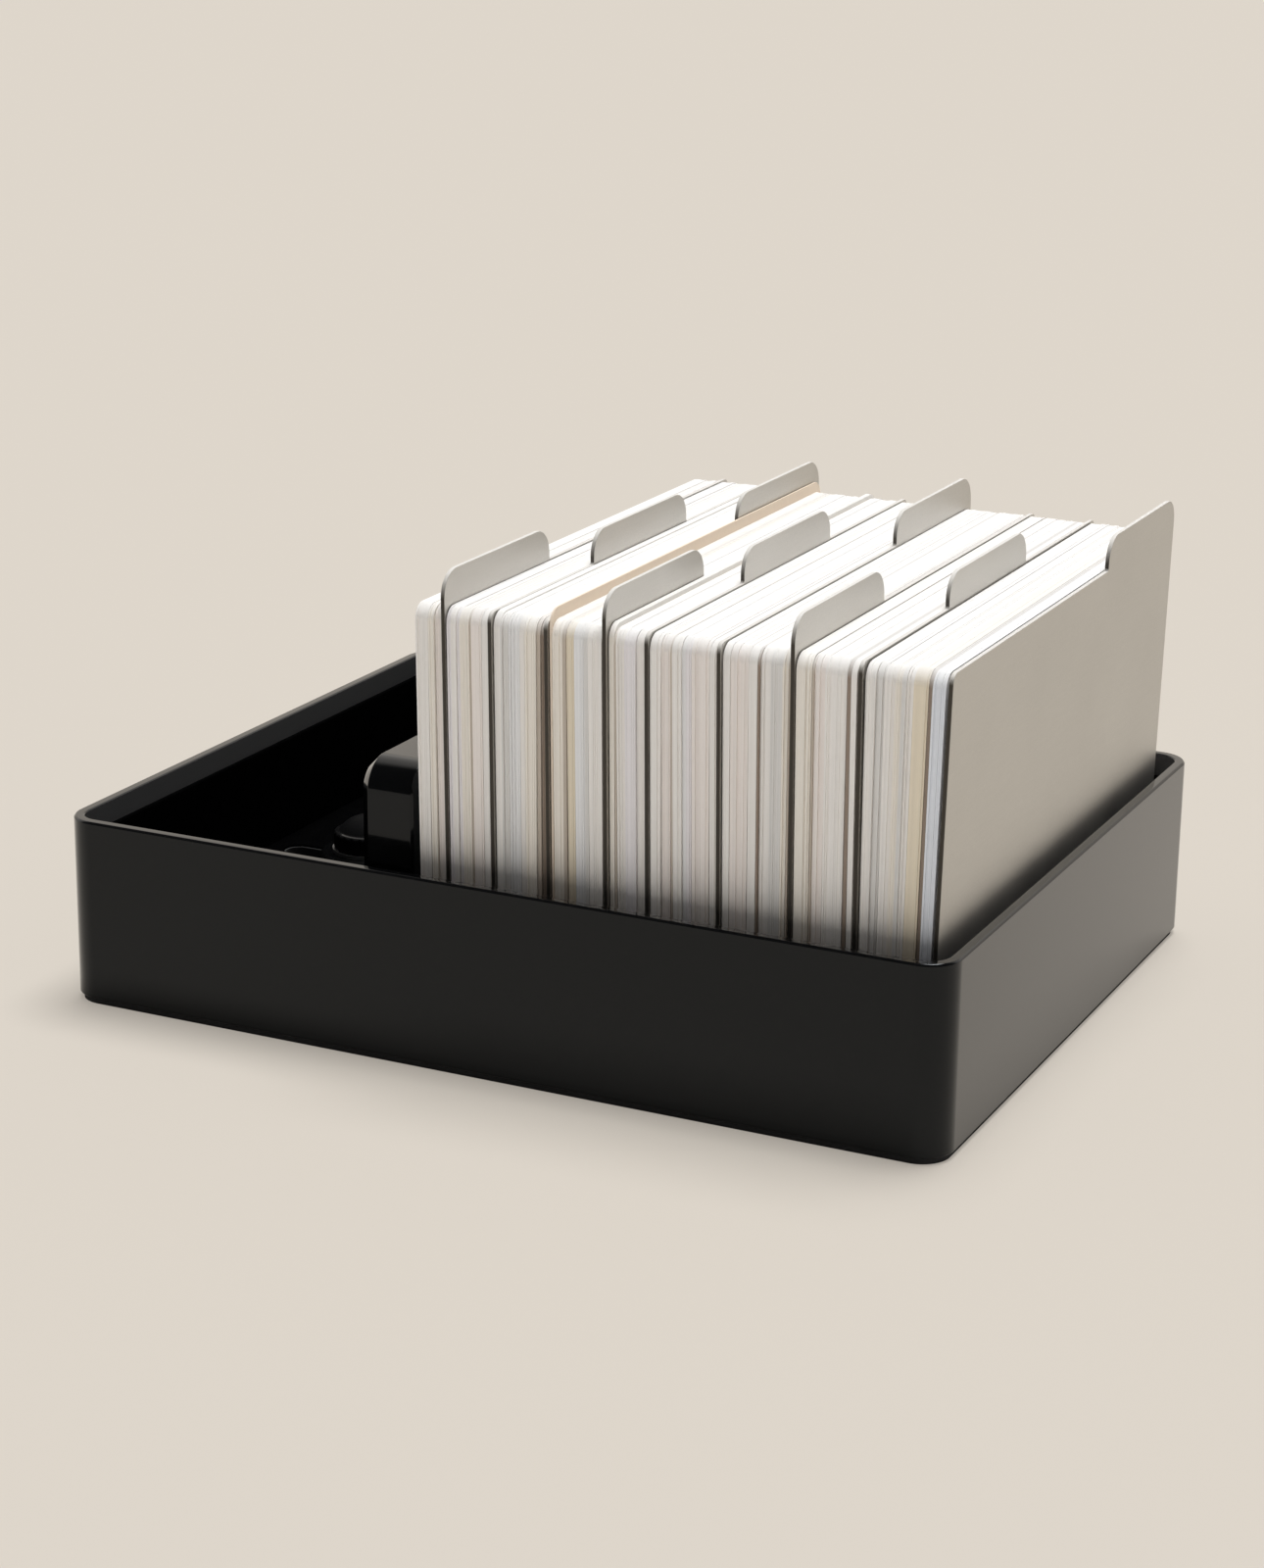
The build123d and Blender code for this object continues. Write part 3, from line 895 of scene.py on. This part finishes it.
def knob_rings(knob, radius, dome_height):
    """Rings of the knob from its bore out, as (radius, height, share of the flutes), and the rim's last."""
    soft = knob.chamfer / 4
    mouth = 0.0003
    bore = [(knob.bore, knob.bore_depth, 0), (knob.bore, mouth, 0), (knob.bore + mouth, 0, 0)]
    below = [
        (radius - knob.chamfer - soft, 0, 0),
        (radius - knob.chamfer + soft, soft, 0.2),
        (radius - soft, knob.chamfer - soft, 1),
        (radius, knob.chamfer + soft, 1),
    ]
    above = [(out, knob.rim_height - height, share) for out, height, share in reversed(below)]
    foot = [
        (knob.dome_radius + 3 * soft, knob.rim_height, 0),
        (knob.dome_radius + soft, knob.rim_height + soft, 0),
    ]
    rings = bore + below + above + foot
    rim_end = len(rings) - 1
    curve = (knob.dome_radius**2 + dome_height**2) / (2 * dome_height)
    reach = atan2(knob.dome_radius, curve - dome_height)
    dome_rings = 14
    foot_turn = 0.02
    for k in range(dome_rings):
        turn = reach * (1 - k / dome_rings) - foot_turn * (k == 0)
        rings.append((curve * sin(turn), knob.rim_height + dome_height - curve * (1 - cos(turn)), 0))
    return rings, rim_end


class CARDBOX_OT_clamp(bpy.types.Operator):
    """Make the fluted thumb knob and finish the stud, washer and nut"""

    bl_idname = "card_box.clamp"
    bl_label = "Clamp"

    def execute(self, context):
        knob = context.scene.card_box_knob
        low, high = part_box("clamp_knob")
        stud_low, stud_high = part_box("clamp_stud")
        centre = (stud_low + stud_high) / 2
        # The solid's box ends in flutes, so the round lands between them reach slightly further out
        radius = (high.y - low.y) / 2 + knob.flute_depth / 20
        rings, rim_end = knob_rings(knob, radius, high.z - low.z - knob.rim_height)
        narrowness = 1.5
        points_per_flute = 8
        points = knob.flutes * points_per_flute
        loops = []
        for ring_radius, height, share in rings:
            loop = []
            for k in range(points):
                turn = 2 * pi * k / points
                flute = max(0, cos(turn * knob.flutes)) ** narrowness * knob.flute_depth * share
                across = Vector((cos(turn), sin(turn), 0)) * (ring_radius - flute)
                loop.append(Vector((centre.x, centre.y, low.z + height)) + across)
            loops.append(loop)
        bm = new_mesh()
        skin(bm, loops)
        polished = bm.verts.layers.float["cut_edge"]
        bm.verts.ensure_lookup_table()
        for vertex in bm.verts[(rim_end - 1) * points : (rim_end + 1) * points]:
            vertex[polished] = 1.0
        maker = dull_anodised_aluminium
        make_piece("thumb_knob", bm, maker, "knob", ["clamp_knob"], sharp_angle=50)
        dress(zinc_plate, "slide_nut", "clamp_stud", "clamp_washer")
        return {"FINISHED"}


def divider_corners(sizes, half, tab_front, tab_back, tab_top):
    """Corners of a divider, anticlockwise from its lower front one; its tab may stand at either edge."""
    corners = [(-half, 0, sizes.lower_corner), (half, 0, sizes.lower_corner)]
    if tab_back < half - sizes.shoulder_corner:
        corners.append((half, sizes.shoulder, sizes.shoulder_corner))
        corners.append((tab_back, sizes.shoulder, sizes.tab_foot))
    corners.append((tab_back, tab_top, sizes.tab_corner))
    corners.append((tab_front, tab_top, sizes.tab_corner))
    if tab_front > -half + sizes.shoulder_corner:
        corners.append((tab_front, sizes.shoulder, sizes.tab_foot))
        corners.append((-half, sizes.shoulder, sizes.shoulder_corner))
    return corners


class CARDBOX_OT_dividers(bpy.types.Operator):
    """Make the tabbed sheet dividers"""

    bl_idname = "card_box.dividers"
    bl_label = "Dividers"

    def execute(self, context):
        sizes = context.scene.card_box_divider

        def sheared(outward, inset):
            """How far a point lies on an edge that doesn't face up."""
            return max(0, 1 - inset / sizes.edge) * (1 - max(0, outward.y))

        def turned_up(outward, inset):
            """How far a point lies on an edge that faces up."""
            return max(0, 1 - inset / sizes.edge) * max(0, outward.y)

        for number in range(1, PACK_COUNT + 1):
            node = f"divider_{number}"
            low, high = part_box(node)
            left = face_line(node, -1)
            tab_top = high.z - low.z
            place = standing_place(x_at(left, low.z), x_at(left, high.z), low.z, tab_top)
            thickness = x_at(face_line(node, 1), low.z) - x_at(left, low.z)
            half = (high.y - low.y) / 2
            third = half * 2 / 3
            tab = ((number - 1) % 3 - 1) * third
            corners = divider_corners(sizes, half, tab - third / 2, tab + third / 2, tab_top)
            outline = rounded_outline(corners)
            section = rounded_edges(0, thickness, sizes.edge)
            bm = new_mesh()
            skin_section(bm, outline, section, place)
            # Standing edges are marked for the dark cut-edge tone with painted shade
            mark(bm, "cut_edge", outline, section, sheared)
            # Upward edges are marked for the painted highlight
            mark(bm, "upper_edge", outline, section, turned_up)
            make_piece(f"tab_divider_{number}", bm, blasted_steel, f"sheet_{number}", [node])
        return {"FINISHED"}


def shared_out(total, weights):
    """Total divided in proportion to the weights."""
    whole = sum(weights)
    return [total * weight / whole for weight in weights]


def run_lengths(runs, count):
    """How many cards each run gets: at least one, and about count in all."""
    whole = sum(share for _, share in runs)
    ends = [round(count * sum(share for _, share in runs[: k + 1]) / whole) for k in range(len(runs))]
    return [max(1, end - start) for start, end in zip([0] + ends, ends)]


def card_gaps(sizes, chance, lengths, foot_room, head_room):
    """Gap before each card at the foot and at the head of a pack, wider where a run begins."""
    tightest = 0.2
    foot_weights = []
    head_weights = []
    for run_length in lengths:
        for k in range(run_length):
            wide = sizes.run_gap * chance.uniform(0.4, 1.6) if k == 0 else 1
            foot_weights.append(wide * chance.uniform(tightest, 1))
            head_weights.append(wide * chance.uniform(tightest, 1))
    foot_gaps = shared_out(foot_room * (1 - sizes.filling), foot_weights)
    head_gaps = shared_out(head_room * (1 - sizes.head_filling), head_weights)
    # The first card stands close to what is before it
    most_before_first = 0.00002
    foot_gaps[0] = head_gaps[0] = min(foot_gaps[0], head_gaps[0], most_before_first)
    return foot_gaps, head_gaps


def add_card(bm, sizes, feet, heads, foot_z, shift, height, tone, upper):
    """One card: feet and heads of its faces, shift across the tray, height, its own tone below and the
    painted highlight tone above.
    """
    half = sizes.width / 2
    corners = rectangle(shift - half, shift + half, 0, height, sizes.corner, sizes.corner)
    outline = rounded_outline(corners, steps=6)
    first = len(bm.verts)
    loops = []
    for foot_x, head_x in zip(feet, heads):
        lean = (head_x - foot_x) / sizes.height
        loops.append([Vector((foot_x + lean * p.y, p.x, foot_z + p.y)) for p, _ in outline])
    skin(bm, loops)
    layer = bm.verts.layers.float_color["card_tint"]
    bm.verts.ensure_lookup_table()
    for vertex, (_, outward) in zip(bm.verts[first:], outline * 2):
        # Painted highlight: each point is paled towards the upper tone as far as it faces up
        share = max(0, outward.y)
        vertex[layer] = (*(part + (shifted - part) * share for part, shifted in zip(tone, upper)), 1)


def make_pack(context, number):
    """One pack of cards, between the outer faces of its solids."""
    sizes = context.scene.card_box_card
    tints = context.scene.card_box_tints
    first_seed = 410
    chance = random.Random(first_seed + number)
    node = f"card_pack_{number}"
    foot_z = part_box(node)[0].z
    head_z = foot_z + sizes.height
    left = face_line(node, -1)
    right = face_line(node, 1)
    foot_x = x_at(left, foot_z) - sizes.reach
    head_x = x_at(left, head_z) - sizes.reach
    foot_room = x_at(right, foot_z) + sizes.reach - foot_x
    head_room = x_at(right, head_z) + sizes.reach - head_x
    count = int(min(foot_room, head_room) / sizes.thickness * sizes.filling)
    runs = PACK_RUNS[number - 1]
    lengths = run_lengths(runs, count)
    foot_gaps, head_gaps = card_gaps(sizes, chance, lengths, foot_room, head_room)
    foot_thickness = foot_room * sizes.filling / sum(lengths)
    head_thickness = head_room * sizes.head_filling / sum(lengths)
    gaps = iter(zip(foot_gaps, head_gaps))
    bm = new_mesh()
    bm.verts.layers.float_color.new("card_tint")
    for place, ((tint, _), run_length) in enumerate(zip(runs, lengths)):
        taller = TALL_RUNS.get((number, place), 0)
        step = chance.uniform(-1, 1) * sizes.run_step
        drop = chance.random() * sizes.trim / 2 * (not taller)
        for _ in range(run_length):
            foot_gap, head_gap = next(gaps)
            foot_x += foot_gap
            head_x += head_gap
            shift = step + chance.uniform(-1, 1) * sizes.card_step
            height = sizes.height + taller - drop - chance.random() * sizes.trim / 2
            tone = toned(getattr(tints, tint), 1 - tints.unevenness * chance.random() ** 2)
            # A card that stands well over the others gets no painted highlight on its upper edges and keeps
            # its own colour
            fading = 0 if taller > sizes.corner / 2 else tints.fading
            upper = [part + (pale - part) * fading for part, pale in zip(tone, tints.upper)]
            feet = (foot_x, foot_x + foot_thickness)
            heads = (head_x, head_x + head_thickness)
            add_card(bm, sizes, feet, heads, foot_z, shift, height, tone, upper)
            foot_x += foot_thickness
            head_x += head_thickness
    make_piece(f"cards_in_pack_{number}", bm, card_stock, f"cards_{number}", [node])


class CARDBOX_OT_cards(bpy.types.Operator):
    """Make every card of every pack"""

    bl_idname = "card_box.cards"
    bl_label = "Cards"

    def execute(self, context):
        for number in range(1, PACK_COUNT + 1):
            make_pack(context, number)
        return {"FINISHED"}


# Stage


def direction(azimuth, height):
    """Way to a light or camera, by its angles from the back towards the right and over the floor."""
    return Vector((sin(azimuth) * cos(height), cos(azimuth) * cos(height), sin(height)))


def seen_directly(nodes):
    """1 for rays of the camera and of reflections, 0 for the light that lands on other surfaces."""
    path = nodes.add("LightPath")
    seen = path.outputs["Is Camera Ray"]
    for ray in ("Is Glossy Ray", "Is Transmission Ray"):
        seen = nodes.calculated("MAXIMUM", seen, path.outputs[ray])
    return seen


def floor_material(stage):
    """Even, matt floor that takes the object's shadow, softened where the camera sees it."""
    ground = Finish("stage_floor")
    clouds = ground.over_grain(ground.grain(0.6), 0.0, 1.0)
    shown = ground.blended(clouds, stage.floor, toned(stage.floor, 0.997))
    tone = ground.blended(seen_directly(ground), stage.table, shown)
    ground.shader(base_color=tone, roughness=1.0, specular_level=0.0)
    camera = ground.add("LightPath").outputs["Is Camera Ray"]
    even = ground.add("Emission", {"Color": stage.background}).outputs["Emission"]
    shaded = ground.tree.nodes["Principled BSDF"].outputs["BSDF"]
    share = ground.ranged(camera, 0.0, 1.0, 0.0, 1 - stage.shadow)
    both = ground.add("MixShader", {"Fac": share, 1: shaded, 2: even}).outputs["Shader"]
    ground.feed(ground.tree.nodes["Material Output"].inputs["Surface"], both)
    return ground.material


def risen(nodes, azimuth, rise, fade):
    """One below a plane that rises away from the camera at this angle, nought over it, faded between."""
    slope = tan(rise)
    downwards = (-sin(azimuth) * slope, cos(azimuth) * slope, -1)
    ray = nodes.add("TexCoord").outputs["Generated"]
    below = nodes.add("VectorMath", {0: ray, 1: downwards}, operation="DOT_PRODUCT").outputs["Value"]
    return nodes.ranged(below, -fade, fade, 0.0, 1.0, interpolation_type="SMOOTHSTEP")


def light_world(stage):
    """Dark room with a pale backdrop, which the camera sees all round, and a pale cloth over it."""
    world = bpy.data.worlds.new("studio")
    bpy.context.scene.world = world
    world.use_nodes = True
    room = Nodes(world.node_tree)
    backdrop = risen(room, stage.azimuth, stage.backdrop_rise, fade=0.06)
    cloth = risen(room, stage.azimuth, stage.softbox_rise, fade=0.5)
    light = room.blended(backdrop, stage.room, stage.backdrop)
    above = room.blended(cloth, stage.mirrored_room, stage.softbox)
    mirrored = room.blended(backdrop, above, stage.background)
    camera = room.add("LightPath").outputs["Is Camera Ray"]
    seen = room.blended(camera, mirrored, stage.background)
    shown = room.blended(seen_directly(room), light, seen)
    room.feed(room.tree.nodes["Background"].inputs["Color"], shown)


def add_key_light(stage):
    """Wide soft light from above and behind."""
    light = bpy.data.lights.new("overhead_softbox", "SUN")
    light.energy = stage.key
    light.angle = stage.key_spread
    towards = direction(stage.key_azimuth, stage.key_height)
    lamp = add_object("overhead_softbox", light)
    lamp.location = towards
    lamp.rotation_euler = towards.to_track_quat("Z", "Y").to_euler()


def add_camera(stage):
    """Camera at the photograph's place and angle."""
    camera = bpy.data.cameras.new("camera")
    camera.lens = stage.lens
    camera.sensor_width = 36
    camera.clip_start = 0.01
    camera.clip_end = 50
    back = direction(pi - stage.azimuth, stage.pitch)
    right = Vector((0, 0, 1)).cross(back).normalized()
    up = back.cross(right)
    rolled_right = right * cos(stage.roll) + up * sin(stage.roll)
    rolled_up = up * cos(stage.roll) - right * sin(stage.roll)
    place = Matrix((rolled_right, rolled_up, back)).transposed().to_4x4()
    place.translation = stage.camera_place
    stand = add_object("camera", camera)
    stand.matrix_world = place
    bpy.context.scene.camera = stand


class CARDBOX_OT_stage(bpy.types.Operator):
    """Make the floor, the lights and the camera"""

    bl_idname = "card_box.stage"
    bl_label = "Stage"

    def execute(self, context):
        stage = context.scene.card_box_stage
        half = stage.floor_size / 2
        corners = [(-half, -half, 0), (half, -half, 0), (half, half, 0), (-half, half, 0)]
        mesh = bpy.data.meshes.new("floor")
        mesh.from_pydata(corners, [], [(0, 1, 2, 3)])
        mesh.materials.append(floor_material(stage))
        add_object("floor", mesh)
        light_world(stage)
        add_key_light(stage)
        add_camera(stage)
        context.scene.view_settings.view_transform = "Standard"
        return {"FINISHED"}


OPERATORS = (
    CARDBOX_OT_stage,
    CARDBOX_OT_walls,
    CARDBOX_OT_base,
    CARDBOX_OT_wall_felt,
    CARDBOX_OT_floor_felt,
    CARDBOX_OT_follower,
    CARDBOX_OT_clamp,
    CARDBOX_OT_dividers,
    CARDBOX_OT_cards,
)


class CARDBOX_PT_panel(bpy.types.Panel):
    """Buttons and sizes of the card box"""

    bl_idname = "CARDBOX_PT_panel"
    bl_label = "Index card box"
    bl_space_type = "VIEW_3D"
    bl_region_type = "UI"
    bl_category = "Card Box"

    def draw(self, context):
        for operator in OPERATORS:
            self.layout.operator(operator.bl_idname)
        for group, kind in GROUPS.items():
            box = self.layout.box()
            box.label(text=kind.__doc__)
            for setting in kind.__annotations__:
                box.prop(getattr(context.scene, group), setting)


def register():
    for group, kind in GROUPS.items():
        bpy.utils.register_class(kind)
        setattr(bpy.types.Scene, group, PointerProperty(type=kind))
    for operator in OPERATORS:
        bpy.utils.register_class(operator)
    bpy.utils.register_class(CARDBOX_PT_panel)


def unregister():
    bpy.utils.unregister_class(CARDBOX_PT_panel)
    for operator in reversed(OPERATORS):
        bpy.utils.unregister_class(operator)
    for group, kind in reversed(GROUPS.items()):
        delattr(bpy.types.Scene, group)
        bpy.utils.unregister_class(kind)


def main():
    """Dress the whole box."""
    register()
    for operator in OPERATORS:
        group, name = operator.bl_idname.split(".")
        result = getattr(getattr(bpy.ops, group), name)()
        if result != {"FINISHED"}:
            raise RuntimeError(f"{operator.bl_label} was not finished")


if __name__ == "__main__":
    main()
